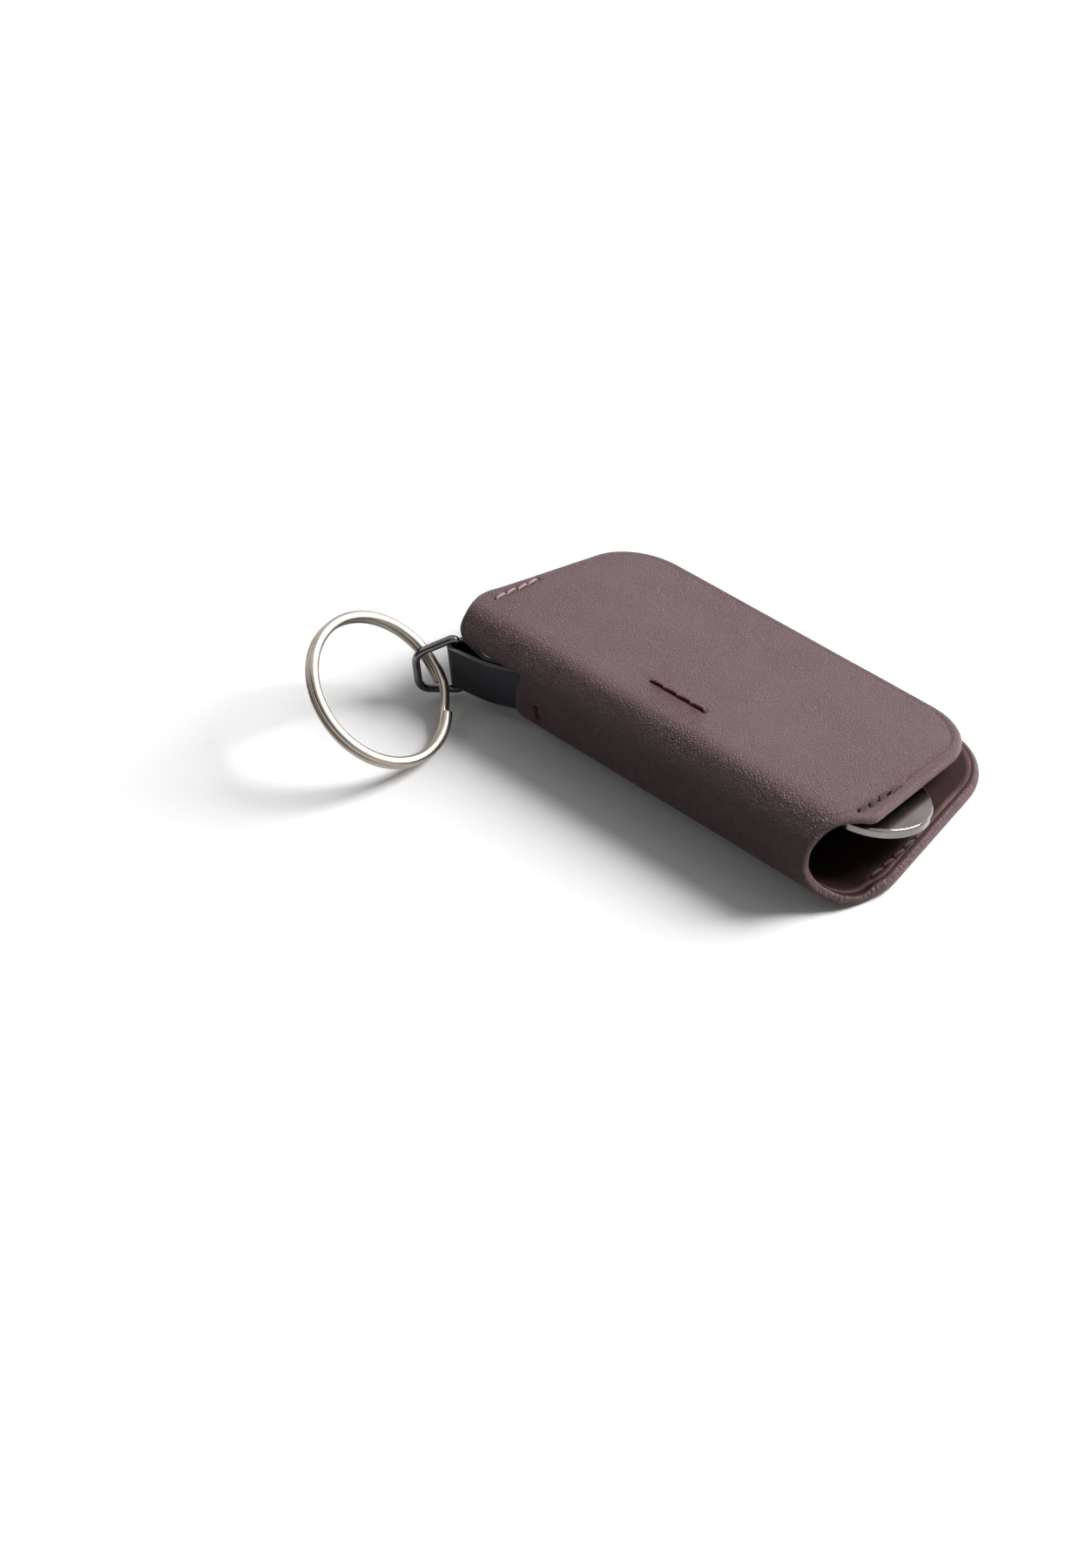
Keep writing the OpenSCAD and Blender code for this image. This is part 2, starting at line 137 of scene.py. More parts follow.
def shell(name, X, S, keep, thick, place, rim, seam=None, sink=None, sink_in=None,
          mats=(), rim_mat=0, inner_mat=0, body=None):
    """Closed sheet of leather with rounded edges from a flat grid of x and s.

    keep says which cells of the grid are leather. place(x, s, depth) maps the flat sheet to 3-D.
    thick and rim are a number or a function of s. seam picks outline points that get no edge
    rounding. sink and sink_in give how far the outer and the inner face are pressed in.
    """
    rows, cols = X.shape
    used = np.zeros(X.shape, bool)
    for dj in (0, 1):
        for di in (0, 1):
            used[dj:rows - 1 + dj, di:cols - 1 + di] |= keep
    ids = -np.ones(X.shape, int)
    ids[used] = np.arange(used.sum())
    flat = np.column_stack([X[used], S[used]])
    n = len(flat)
    quads = [(ids[j, i], ids[j, i + 1], ids[j + 1, i + 1], ids[j + 1, i])
             for j in range(rows - 1) for i in range(cols - 1) if keep[j, i]]
    edges = {}
    for q in quads:
        for a, b in zip(q, q[1:] + q[:1]):
            edges[(a, b)] = True
    nxt = {a: b for a, b in edges if (b, a) not in edges}
    start = min(nxt)
    loop = [start]
    while nxt[loop[-1]] != start:
        loop.append(nxt[loop[-1]])
    loop = np.array(loop)
    p = flat[loop]
    step = np.roll(p, -1, 0) - p
    norm = np.column_stack([step[:, 1], -step[:, 0]])
    norm /= np.maximum(np.linalg.norm(norm, axis=1), 1e-9)[:, None]
    out = norm + np.roll(norm, 1, 0)
    size = np.linalg.norm(out, axis=1)
    out = out / size[:, None] * np.minimum(2 / size, MITRE)[:, None]
    grow = np.ones(len(loop))
    if seam is not None:
        at_seam = seam(p)
        ends = at_seam & ~(np.roll(at_seam, 1) & np.roll(at_seam, -1))
        grow = 1.0 - (at_seam & ~ends)
        out[ends] = np.column_stack([np.sign(p[ends, 0] - p[at_seam, 0].mean()), np.zeros(ends.sum())])
    # distance to the edge, for edge wear, the painted highlight at the rim and creases, in batches that
    # spare memory
    real = p[grow > 0.5]
    near = np.zeros(n)
    batch = 2000
    for k in range(0, n, batch):
        d = np.linalg.norm(flat[k:k + batch, None] - real[None], axis=2)
        near[k:k + batch] = d.min(1)
    top = sink(flat, near) if sink else np.zeros(n)
    low = sink_in(flat, near) if sink_in else np.zeros(n)
    full = thick(flat[:, 1]) if callable(thick) else np.full(n, thick)
    rr = rim(p[:, 1]) if callable(rim) else np.full(len(loop), rim)
    tt = full[loop]
    parts = [place(flat[:, 0], flat[:, 1], top), place(flat[:, 0], flat[:, 1], full - low)]
    uv = [flat, flat + INNER_UV]
    edge = [near + rr.max(), near + rr.max()]
    # the edge's section, from the outer face to the inner: how far out, how deep
    rings = []
    prof = [(rr * math.sin(a), rr * (1 - math.cos(a))) for a in RIM_STEPS]
    prof += [(rr * BULGE, tt / 2)]
    prof += [(rr * math.sin(a), tt - rr * (1 - math.cos(a))) for a in RIM_STEPS[::-1]]
    for o, d in prof:
        q = p + out * (o * grow)[:, None]
        share = d / tt
        dd = d + top[loop] * (1 - share) - low[loop] * share
        rings.append(n * 2 + len(loop) * len(rings))
        parts.append(place(q[:, 0], q[:, 1], dd))
        # at a seam the edge has no width, but its UVs keep a little
        uv.append(p + out * ((o + d) * np.maximum(grow, 0.3))[:, None])
        edge.append(rr - o)
    faces = list(quads) + [tuple(n + v for v in q[::-1]) for q in quads]
    kind = [0] * len(quads) + [inner_mat] * len(quads)
    m = len(loop)
    chain = [lambda k: int(loop[k])] + [(lambda k, r=r: r + k) for r in rings]
    chain.append(lambda k: n + int(loop[k]))
    for a, b in zip(chain, chain[1:]):
        for k in range(m):
            faces.append((a(k), a((k + 1) % m), b((k + 1) % m), b(k)))
            kind.append(rim_mat)
    return finish_mesh(name, np.vstack(parts), faces, np.vstack(uv),
                       {"edge": np.concatenate(edge)}, mats, kind, body)


def sweep(name, centres, side, up, profile, closed, mats, body):
    """Profile (list of a, b) swept along centres, with side and up vectors at each."""
    c, sd, u = (np.asarray(v, float) for v in (centres, side, up))
    n, k = len(c), len(profile)
    pr = np.asarray(profile, float)
    verts = np.zeros((n, k, 3))
    for i in range(n):
        verts[i] = c[i] + pr[:, :1] * sd[i] + pr[:, 1:] * u[i]
    run = np.concatenate([[0], np.cumsum(np.linalg.norm(np.diff(c, axis=0), axis=1))])
    girth = np.concatenate([[0], np.cumsum(np.linalg.norm(np.diff(pr, axis=0), axis=1))])
    uv = np.zeros((n, k, 2))
    uv[..., 0] = run[:, None]
    uv[..., 1] = girth[None]
    faces = []
    for i in range(n if closed else n - 1):
        for j in range(k):
            a, b = i * k + j, i * k + (j + 1) % k
            i2 = (i + 1) % n
            faces.append((a, b, i2 * k + (j + 1) % k, i2 * k + j))
    if not closed:
        faces.append(tuple(range(k))[::-1])
        faces.append(tuple((n - 1) * k + j for j in range(k)))
    return finish_mesh(name, verts.reshape(-1, 3), faces, uv.reshape(-1, 2), None, mats, None, body)


def crowned(w, h, power):
    """Section of drawn wire: a box with crowned sides (power 2 is an ellipse, more is squarer)."""
    points = 28
    a = np.linspace(0, 2 * math.pi, points, endpoint=False)
    c, s = np.cos(a), np.sin(a)
    across = w / 2 * np.sign(c) * np.abs(c) ** (2 / power)
    return list(zip(across, h / 2 * np.sign(s) * np.abs(s) ** (2 / power)))


# ---- materials ----

def add(nt, kind, ins=None, **props):
    """Shader node of a kind; ins are links or values by socket, props are node settings."""
    node = nt.nodes.new("ShaderNode" + kind)
    for key, value in props.items():
        setattr(node, key, value)
    for key, value in (ins or {}).items():
        if isinstance(value, bpy.types.NodeSocket):
            nt.links.new(value, node.inputs[key])
        else:
            node.inputs[key].default_value = value
    return node


def ramp(nt, fac, stops):
    """Colour ramp through (position, grey or colour) stops."""
    node = add(nt, "ValToRGB", {"Fac": fac})
    el = node.color_ramp.elements
    while len(el) < len(stops):
        el.new(0.5)
    for e, (at, col) in zip(el, stops):
        e.position = at
        e.color = (*((col,) * 3 if isinstance(col, float) else col), 1)
    return node.outputs["Color"]


def math_node(nt, op, a, b):
    """Result of a math operation on two links or values."""
    return add(nt, "Math", {0: a, 1: b}, operation=op).outputs[0]


def mix(nt, fac, a, b):
    """Colour mix from a to b."""
    node = nt.nodes.new("ShaderNodeMix")
    node.data_type = "RGBA"
    for key, value in ((0, fac), (6, a), (7, b)):
        if isinstance(value, bpy.types.NodeSocket):
            nt.links.new(value, node.inputs[key])
        else:
            node.inputs[key].default_value = (*value, 1) if isinstance(value, tuple) else value
    return node.outputs[2]


def start_material(name, shader):
    """New material with these plain values on its shader."""
    m = bpy.data.materials.new(name)
    m.use_nodes = True
    nt = m.node_tree
    bsdf = nt.nodes["Principled BSDF"]
    for key, value in shader.items():
        bsdf.inputs[key].default_value = value
    return m, nt, bsdf


# millimetres in one unit of each kind of texture coordinate
PER_UNIT = {"UV": float(UV_UNIT), "Object": 1000.0}


def leather(name, light, dark, pebble, depth, rough, shader, wear_and_highlight=None, coord="UV"):
    """Pebbled leather: cells of the given size in mm, valleys darker, paler at the edge for wear and a
    painted highlight.
    """
    m, nt, bsdf = start_material(name, shader)
    co = add(nt, "TexCoord").outputs[coord]
    per = PER_UNIT[coord]
    warp = add(nt, "TexNoise", {"Vector": co, "Scale": per / (pebble * 3.5), "Detail": 2.0})
    bent = add(nt, "VectorMath", {0: warp.outputs["Color"], 1: (0.5, 0.5, 0.5)}, operation="SUBTRACT")
    bent = add(nt, "VectorMath", {0: bent.outputs[0], 1: (pebble * 1.1 / per,) * 3}, operation="MULTIPLY")
    bent = add(nt, "VectorMath", {0: co, 1: bent.outputs[0]}).outputs[0]
    cell = add(nt, "TexVoronoi", {"Vector": bent, "Scale": per / pebble, "Randomness": 0.95},
               feature="DISTANCE_TO_EDGE").outputs["Distance"]
    cell = ramp(nt, cell, [(0.0, 0.0), (0.10, 0.55), (0.32, 1.0)])
    fine = add(nt, "TexNoise", {"Vector": co, "Scale": per / (pebble * 0.38), "Detail": 4.0,
                                "Roughness": 0.6}).outputs["Fac"]
    big = add(nt, "TexNoise", {"Vector": co, "Scale": per / 22, "Detail": 3.0}).outputs["Fac"]
    patch = add(nt, "TexNoise", {"Vector": co, "Scale": per / 6, "Detail": 4.0,
                                 "Roughness": 0.6}).outputs["Fac"]
    # the grain is softer in some places than in others
    soft = ramp(nt, big, [(0.3, 0.35), (0.7, 1.0)])
    height = math_node(nt, "MULTIPLY", cell, soft)
    height = math_node(nt, "ADD", height, math_node(nt, "MULTIPLY", fine, 0.7))
    height = math_node(nt, "ADD", height, math_node(nt, "MULTIPLY", patch, 0.9))
    bump = add(nt, "Bump", {"Height": height, "Strength": 1.0, "Distance": depth * MM})
    tone = math_node(nt, "ADD", math_node(nt, "MULTIPLY", cell, 0.35),
                     math_node(nt, "ADD", math_node(nt, "MULTIPLY", big, 0.45),
                               math_node(nt, "MULTIPLY", fine, 0.3)))
    col = mix(nt, ramp(nt, tone, [(0.25, 0.0), (0.85, 1.0)]), dark, light)
    if wear_and_highlight is not None:
        # paler at the edge for rubbed wear and a painted highlight along the rim, with a dark line just
        # inside it
        edge = add(nt, "Attribute", attribute_name="edge").outputs["Fac"]
        at_rim = add(nt, "MapRange", {"Value": edge, "From Min": 0.25, "From Max": 1.1,
                                      "To Min": 1.0, "To Max": 0.0}).outputs[0]
        rub_and_highlight = math_node(nt, "MULTIPLY", at_rim, ramp(nt, patch, [(0.35, 0.25), (0.7, 1.0)]))
        col = mix(nt, rub_and_highlight, col, wear_and_highlight)
        line = add(nt, "MapRange", {"Value": edge, "From Min": 1.1, "From Max": 1.6,
                                    "To Min": 1.0, "To Max": 0.0}).outputs[0]
        line = math_node(nt, "MULTIPLY", line, 0.1)
        col = mix(nt, line, col, tuple(c * 0.5 for c in dark))
    nt.links.new(col, bsdf.inputs["Base Color"])
    nt.links.new(ramp(nt, math_node(nt, "ADD", math_node(nt, "MULTIPLY", patch, 0.5),
                                    math_node(nt, "MULTIPLY", fine, 0.5)),
                      [(0.3, rough[0]), (0.7, rough[1])]), bsdf.inputs["Roughness"])
    nt.links.new(bump.outputs[0], bsdf.inputs["Normal"])
    return m


def metal(name, light, dark, rough, scratch, stretch=(1, 1, 1), soft=0.0):
    """Plated metal with fine scratches and uneven polish; soft is how round its edges look, in mm."""
    m, nt, bsdf = start_material(name, {"Metallic": 1.0})
    co = add(nt, "TexCoord").outputs["Object"]
    per = PER_UNIT["Object"]
    vec = add(nt, "VectorMath", {0: co, 1: tuple(per * k for k in stretch)},
              operation="MULTIPLY").outputs[0]
    fine = add(nt, "TexNoise", {"Vector": vec, "Scale": 6.0, "Detail": 5.0,
                                "Roughness": 0.7}).outputs["Fac"]
    big = add(nt, "TexNoise", {"Vector": co, "Scale": per / 7, "Detail": 3.0}).outputs["Fac"]
    col = mix(nt, ramp(nt, big, [(0.3, 0.0), (0.75, 1.0)]), dark, light)
    nt.links.new(col, bsdf.inputs["Base Color"])
    nt.links.new(ramp(nt, math_node(nt, "ADD", math_node(nt, "MULTIPLY", fine, 0.6),
                                    math_node(nt, "MULTIPLY", big, 0.4)),
                      [(0.35, rough[0]), (0.7, rough[1])]), bsdf.inputs["Roughness"])
    bump = add(nt, "Bump", {"Height": fine, "Strength": 1.0, "Distance": scratch * MM})
    if soft:
        eased = add(nt, "Bevel", {"Radius": soft * MM}, samples=6)
        nt.links.new(eased.outputs[0], bump.inputs["Normal"])
    nt.links.new(bump.outputs[0], bsdf.inputs["Normal"])
    return m


def thread_material(name, light, dark):
    """Waxed thread with fine fibres."""
    m, nt, bsdf = start_material(name, {"Sheen Weight": 0.3, "Sheen Roughness": 0.4,
                                        "Specular IOR Level": 0.3})
    co = add(nt, "TexCoord").outputs["Object"]
    fibre = add(nt, "TexNoise", {"Vector": co, "Scale": 6000.0, "Detail": 4.0}).outputs["Fac"]
    nt.links.new(mix(nt, ramp(nt, fibre, [(0.3, 0.0), (0.7, 1.0)]), dark, light), bsdf.inputs["Base Color"])
    nt.links.new(ramp(nt, fibre, [(0.3, 0.55), (0.7, 0.8)]), bsdf.inputs["Roughness"])
    bump = add(nt, "Bump", {"Height": fibre, "Strength": 1.0, "Distance": 0.04 * MM})
    nt.links.new(bump.outputs[0], bsdf.inputs["Normal"])
    return m


# linear colours, light then dark, matched to the photograph; for leather then the pebble size and
# the depth of its bumps in mm; then the range of roughness; for metal then the depth of scratches
# the last colour of a leather is its edge colour: paler for wear and a painted highlight along the rim
COVER = leather("cover_leather", (0.115, 0.050, 0.055), (0.053, 0.023, 0.027), 0.50, 0.24, (0.34, 0.48),
                {"Specular IOR Level": 0.42, "Sheen Weight": 0.06, "Sheen Roughness": 0.45,
                 "Sheen Tint": (0.8, 0.62, 0.74, 1)}, wear_and_highlight=(0.175, 0.092, 0.095))
# lining leather, darkened past its own colour to paint in the shade inside the case; its pale edge colour
# is wear and a painted highlight
LINING_SHADED = leather("lining_leather", (0.036, 0.0155, 0.0145), (0.015, 0.006, 0.006), 0.45, 0.03, (0.5, 0.66),
                {"Specular IOR Level": 0.12}, wear_and_highlight=(0.19, 0.11, 0.10))
STRAP = leather("strap_leather", (0.022, 0.020, 0.031), (0.009, 0.009, 0.014), 0.55, 0.06, (0.46, 0.62),
                {"Specular IOR Level": 0.42})
# pale suede of the strap's cut edge, made paler still to paint in the light the edge catches
SUEDE_PAINTED_LIGHT = leather("strap_cut_edge_painted_highlight", (0.58, 0.57, 0.57), (0.22, 0.215, 0.22), 0.16, 0.06, (0.85, 0.95),
                {"Specular IOR Level": 0.15, "Sheen Weight": 0.3}, coord="Object")
THREAD = thread_material("thread", (0.17, 0.062, 0.034), (0.055, 0.017, 0.011))
THREAD_MID = thread_material("thread_cover_middle", (0.15, 0.056, 0.045), (0.045, 0.014, 0.012))
THREAD_UP = thread_material("thread_cover", (0.052, 0.020, 0.020), (0.014, 0.005, 0.005))
THREAD_PALE = thread_material("thread_cover_pale", (0.42, 0.31, 0.31), (0.19, 0.125, 0.125))
THREAD_IN = thread_material("thread_inside", (0.13, 0.085, 0.08), (0.05, 0.03, 0.028))
WIRE = metal("dark_wire", (0.225, 0.21, 0.22), (0.10, 0.092, 0.10), (0.13, 0.25), 0.002)
NICKEL = metal("ring_metal", (0.50, 0.445, 0.385), (0.34, 0.295, 0.25), (0.24, 0.38), 0.0015)
# the key's nickel plating is darkened to paint in the dark reflection of the cover's underside on its face
KEY_PAINTED_DARK = metal("key_metal", (0.27, 0.248, 0.244), (0.18, 0.165, 0.162), (0.10, 0.20), 0.001,
            (1, 0.15, 1), soft=0.3)
STEEL = metal("post_metal", (0.6, 0.6, 0.6), (0.42, 0.42, 0.42), (0.22, 0.38), 0.005)
MAGNET = metal("magnet_metal", (0.55, 0.55, 0.55), (0.4, 0.4, 0.4), (0.25, 0.4), 0.005)


def plastic():
    """Black moulded plastic with a fine grain."""
    m, nt, bsdf = start_material("spacer_plastic", {"Specular IOR Level": 0.4})
    co = add(nt, "TexCoord").outputs["Object"]
    grain = add(nt, "TexNoise", {"Vector": co, "Scale": 5000.0, "Detail": 3.0}).outputs["Fac"]
    nt.links.new(mix(nt, grain, (0.02, 0.02, 0.022), (0.045, 0.045, 0.048)), bsdf.inputs["Base Color"])
    nt.links.new(ramp(nt, grain, [(0.3, 0.45), (0.7, 0.6)]), bsdf.inputs["Roughness"])
    bump = add(nt, "Bump", {"Height": grain, "Distance": 0.01 * MM})
    nt.links.new(bump.outputs[0], bsdf.inputs["Normal"])
    return m


PLASTIC = plastic()


# ---- the cover's shape ----

def wrap(x, s, depth):
    """Flat (x, s, depth below the outside) to the closed cover: lower panel, spine, upper panel."""
    x, s, depth = np.broadcast_arrays(x, s, depth)
    a = np.clip((s - LOW_LEN) / SPINE_R, 0, math.pi + SLOPE)
    th = 1.5 * math.pi - a
    # the leather turns more sharply where the spine meets the top than the plain arc does
    rad = (SPINE_R - depth) * (1 + BEND * np.exp(-((th - BEND_AT) / BEND_WIDE) ** 2))
    y = SPINE_Y + rad * np.cos(th)
    z = SPINE_R + rad * np.sin(th)
    before = np.maximum(LOW_LEN - s, 0)
    after = np.maximum(s - S_UP, 0)
    return np.column_stack([x, y + before + after * SLOPE_COS, z - after * SLOPE_SIN])


def reach(y, inset):
    """Half length of a panel at plan y: two pairs of rounded corners joined by straight ends."""
    fx, fy, fr = HALF_LEN - TAPER - FAR_R, HALF_W - FAR_R, FAR_R - inset
    nx, ny, nr = HALF_LEN - NEAR_R, NEAR_Y, NEAR_R - inset
    d = math.hypot(fx - nx, fy - ny)
    beta = math.atan2(fy - ny, fx - nx) - math.acos((NEAR_R - FAR_R) / d)
    cb, sb = math.cos(beta), math.sin(beta)
    line = (nx * cb + ny * sb + nr - y * sb) / cb
    far = fx + np.sqrt(np.maximum(fr ** 2 - (y - fy) ** 2, 0))
    near = nx + np.sqrt(np.maximum(nr ** 2 - (y - ny) ** 2, 0))
    near = np.where(y < ny - nr, 0, near)
    return np.where(y > fy + fr * sb, far, np.where(y > ny + nr * sb, line, near))


# the open right end of the cover, along the flat: mm past the start of the spine, x
MOUTH = np.array([(-6.3, 47.45), (-3, 46.9), (0, 45.9), (3.3, 44.5), (6.5, 42.2), (9.1, 40.0),
                  (13.7, 38.1), (18.2, 37.7), (22.8, 38.6), (26.6, 40.4), (29.5, 41.9),
                  (32, 42.9), (35.6, 43.35)])


def panel_share(s):
    """1 on the flat panels, where the lining is turned in with the leather, 0 round the spine."""
    into, over = 0.5, 4.5
    k = s - LOW_LEN
    return np.maximum(smooth01((into - k) / over), smooth01((k - ARC_LEN + into) / over))


def rim_of(s):
    """Edge rounding at s."""
    return RIM + TURNED * panel_share(s)


def thick_of(s):
    """Thickness of the skin at s, turned-in lining and all."""
    return LEATHER + (LINING - LIN_PROUD) * panel_share(s)


def right_end(s, inset):
    """x of the right end of the cover at flat position s, in by inset."""
    y = wrap(np.zeros_like(s), s, 0)[:, 1]
    side = np.where(s < LOW_LEN + ARC_LEN / 2, SHIFT, -SHIFT)
    x = side + reach(y, inset)
    k = s - LOW_LEN
    mouth = np.interp(k, MOUTH[:, 0], MOUTH[:, 1]) - inset
    fade = 4
    w = smooth01((k - MOUTH[0, 0]) / fade) * smooth01((MOUTH[-1, 0] - k) / fade)
    return x * (1 - w) + mouth * w


def left_end(s, shift, spine_x, inset):
    """x of the left end: spine_x along the spine, the panel's outline beyond it."""
    y = wrap(np.zeros_like(s), s, 0)[:, 1]
    x = shift - reach(y, inset)
    spine = spine_x + inset
    return np.where(y < NEAR_Y, np.minimum(x, spine), x)


def soften(v, s, lo, hi, width):
    """Moving average of v over +-width in s, only between lo and hi."""
    samples, fade = 1200, 2
    fine = np.linspace(s.min(), s.max(), samples)
    vf = np.interp(fine, s, v)
    k = max(1, int(width / (fine[1] - fine[0])))
    box = np.convolve(np.pad(vf, k, mode="edge"), np.ones(2 * k + 1) / (2 * k + 1), "valid")
    w = smooth01((fine - lo) / fade) * smooth01((hi - fine) / fade)
    return np.interp(s, fine, vf * (1 - w) + box * w)


ROW_STEP = 0.5


def columns(n, dense):
    """n positions from 0 to 1, closer together at both ends the larger dense is."""
    t = np.linspace(0, 1, n)
    return t - dense * np.sin(2 * math.pi * t) / (2 * math.pi)


def far_rows(end, back):
    """Rows that bunch up towards the rounded corners at end, going back by back mm."""
    o = np.concatenate([0.02 * np.arange(0, 13) ** 2, np.arange(3.3, back, ROW_STEP)])
    return end - o


def undulate(flat, size, amp):
    """Unevenness of hand-worked leather: hollows about size mm wide and up to amp deep."""
    layer = 3.1
    level = [noise.noise(Vector((p[0] / size, p[1] / size, layer))) for p in flat]
    return np.array([0.5 + 0.5 * v for v in level]) * amp


# length of a stitch, stitches in a row at an end, and how far that row lies in from the end
STITCH, END_STITCHES, END_IN = 3.1, 4, 3.2


def run_of(x, s, n, along):
    """Stitch hole points of a run that starts at x, s and goes along x or s."""
    d = np.array([1.0, 0.0]) if along == "x" else np.array([0.0, 1.0])
    return np.array([np.array([x, s]) + d * STITCH * i for i in range(n + 1)])


# on each half: the rows at the left and right end, then the one in the middle by the spine
up_s = S_UP + 1.2
low_s = HALF_W - (SPINE_Y + 3.3) - END_STITCHES * STITCH
UP_RUNS = [run_of(-SHIFT + e * (HALF_LEN - END_IN), up_s, END_STITCHES, "s") for e in (-1, 1)]
UP_RUNS.append(run_of(-SHIFT - 2 * STITCH, S_UP + 3.5, 4, "x"))
LOW_RUNS = [run_of(SHIFT + e * (HALF_LEN - END_IN), low_s, END_STITCHES, "s") for e in (-1, 1)]
LOW_RUNS.append(run_of(SHIFT - 1.5 * STITCH, HALF_W - (SPINE_Y + 5.5), 3, "x"))
# the single stitch by the slot that holds the strap
TAB_S = LOW_LEN + SPINE_R * math.radians(81.5) + 0.5
TAB_RUN = [run_of(SLOT_X + 5.1, TAB_S - STITCH / 2, 1, "s")]


def sunk(flat, runs, deep=0.24):
    """How far the leather is pulled in along stitch runs, deepest at the holes."""
    width, hole_deep, hole_wide = 0.6, 0.45, 0.45
    g = np.zeros(len(flat))
    for run in runs:
        for a, b in zip(run, run[1:]):
            ab = b - a
            t = np.clip(((flat - a) @ ab) / (ab @ ab), 0, 1)
            d = np.linalg.norm(flat - a - t[:, None] * ab, axis=1)
            g = np.maximum(g, deep * np.exp(-(d / width) ** 2))
        for h in run:
            d = np.linalg.norm(flat - h, axis=1)
            g = np.maximum(g, (deep + hole_deep) * np.exp(-(d / hole_wide) ** 2))
    return g


def crease(flat, near):
    """Fold line inside the turned edge: clear at the right end, faint elsewhere."""
    deep, inside, width = 0.38, 0.95, 0.38
    from_x, over = 28, 12
    along_x = 0.12 + 0.88 * smooth01((flat[:, 0] - from_x) / over)
    here = along_x * (0.3 + 0.7 * panel_share(flat[:, 1]))
    return deep * here * np.exp(-((near - inside) / width) ** 2)


# the strap slot ends at SLOT_EDGE; columns of the grid left and right of it
SLOT_EDGE = SLOT_X + RIM
DENSE = 0.35
LEFT_COLS, RIGHT_COLS = columns(34, DENSE), columns(150, DENSE)
# the cover's ends are smoothed over this many mm, and between these values of s
MOUTH_SOFT, SOFT_FROM, SOFT_MID, SOFT_TO = 1.2, 34, 60, S_UP + 12


def slotted(rows, left, right):
    """Grid of x and s from left to right with a column along the slot's end, and its cells."""
    x = np.column_stack([left[:, None] + (SLOT_EDGE - left)[:, None] * LEFT_COLS[None, :-1],
                         SLOT_EDGE + (right - SLOT_EDGE)[:, None] * RIGHT_COLS[None]])
    return x, np.repeat(rows[:, None], x.shape[1], 1), np.ones((x.shape[0] - 1, x.shape[1] - 1), bool)


def press(flat, near, amp, from_seam, runs):
    """How far a skin's outer face is pressed in; it is even at the seam, where the skins meet."""
    all_over, hollow, fade = 0.02, 14, 4
    uneven = undulate(flat, hollow, amp) * smooth01(from_seam / fade)
    return all_over + uneven + sunk(flat, runs) + crease(flat, near)


# rows of the lower half, far edge to seam
RIM_FAR = RIM + TURNED
rows = -far_rows(0, 46) + RIM_FAR
rows = rows[rows < S_SEAM - RIM - 0.3]
rows = np.concatenate([rows, [S_SEAM - RIM, S_SEAM]])
right = soften(right_end(rows, rim_of(rows)), rows, SOFT_FROM, SOFT_MID, MOUTH_SOFT)
low_x, low_grid_s, keep = slotted(rows, left_end(rows, SHIFT, LOW_LEFT_X, rim_of(rows)), right)
keep[-1, :len(LEFT_COLS) - 1] = False
skin_low = shell(
    "cover_skin_lower", low_x, low_grid_s, keep, thick_of, wrap, rim_of,
    seam=lambda p: (p[:, 1] > S_SEAM - 1e-6) & (p[:, 0] > SLOT_EDGE - 0.01),
    sink=lambda f, near: press(f, near, 0.05, S_SEAM - f[:, 1], LOW_RUNS),
    mats=[COVER, LINING_SHADED], inner_mat=1, body="base")
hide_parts("cover_lower")

# the spine above the seam and the upper half
end = S_UP + UP_LEN - RIM_FAR
back = far_rows(end, 60)[::-1]
rows = np.concatenate([np.arange(S_SEAM, S_HINGE + RIM - 0.2, ROW_STEP), [S_HINGE + RIM],
                       np.arange(S_HINGE + RIM + 0.45, back[0] - 0.2, ROW_STEP), back])
rows = np.unique(np.round(rows, 4))
rows = rows[np.concatenate([[True], np.diff(rows) > 0.012])]
right = soften(right_end(rows, rim_of(rows)), rows, S_SEAM + 1, SOFT_TO, MOUTH_SOFT)
right[0] = low_x[-1, -1]
left = soften(left_end(rows, -SHIFT, LIP_X, rim_of(rows)), rows, S_HINGE + 3, SOFT_TO, 3.0)
# round the lip's corner beside the slot, and set it back there
LIP_ROUND = 2.2
dip = np.clip(rows - (S_HINGE + RIM), 0, LIP_ROUND)
left = left + LIP_ROUND - np.sqrt(LIP_ROUND ** 2 - (LIP_ROUND - dip) ** 2)
left = left + LIP_BACK * (1 - smooth01((rows - S_HINGE) / 4.5))
up_x, up_grid_s, keep = slotted(rows, left, right)
keep[rows[:-1] < S_HINGE + RIM - 1e-4, :len(LEFT_COLS) - 1] = False
skin_up = shell(
    "cover_skin", up_x, up_grid_s, keep, thick_of, wrap, rim_of,
    seam=lambda p: (p[:, 1] < S_SEAM + 1e-3) & (p[:, 0] > SLOT_EDGE - 0.01),
    sink=lambda f, near: press(f, near, 0.06, f[:, 1] - S_SEAM, UP_RUNS + TAB_RUN),
    mats=[COVER, LINING_SHADED], inner_mat=1)
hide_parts("cover_upper")
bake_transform(skin_up)


# ---- linings: thin sheets on the inner faces, running a little way round the spine ----

# in from the cover's edge, thickness, edge rounding, how far they run round the spine
LIN_IN, LIN_T, LIN_R, LIN_ROUND = 1.7, 0.3, 0.14, 7.0


def on_inside(x, s, depth):
    """Flat lining to its place on the skin's inner face."""
    return wrap(x, s, thick_of(s) - LIN_SUNK + depth)


def lining(name, rows, left, right, runs, body, node):
    """Sheet of lining between left and right, pulled in along its stitch runs."""
    X = left[:, None] + (right - left)[:, None] * columns(170, DENSE)[None]
    S = np.repeat(rows[:, None], X.shape[1], 1)
    ob = shell(name, X, S, np.ones((X.shape[0] - 1, X.shape[1] - 1), bool), LIN_T, on_inside, LIN_R,
               sink_in=lambda f, near: 0.01 + undulate(f, 11, 0.08) + sunk(f, runs, 0.16),
               mats=[LINING_SHADED], body=body)
    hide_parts(node)


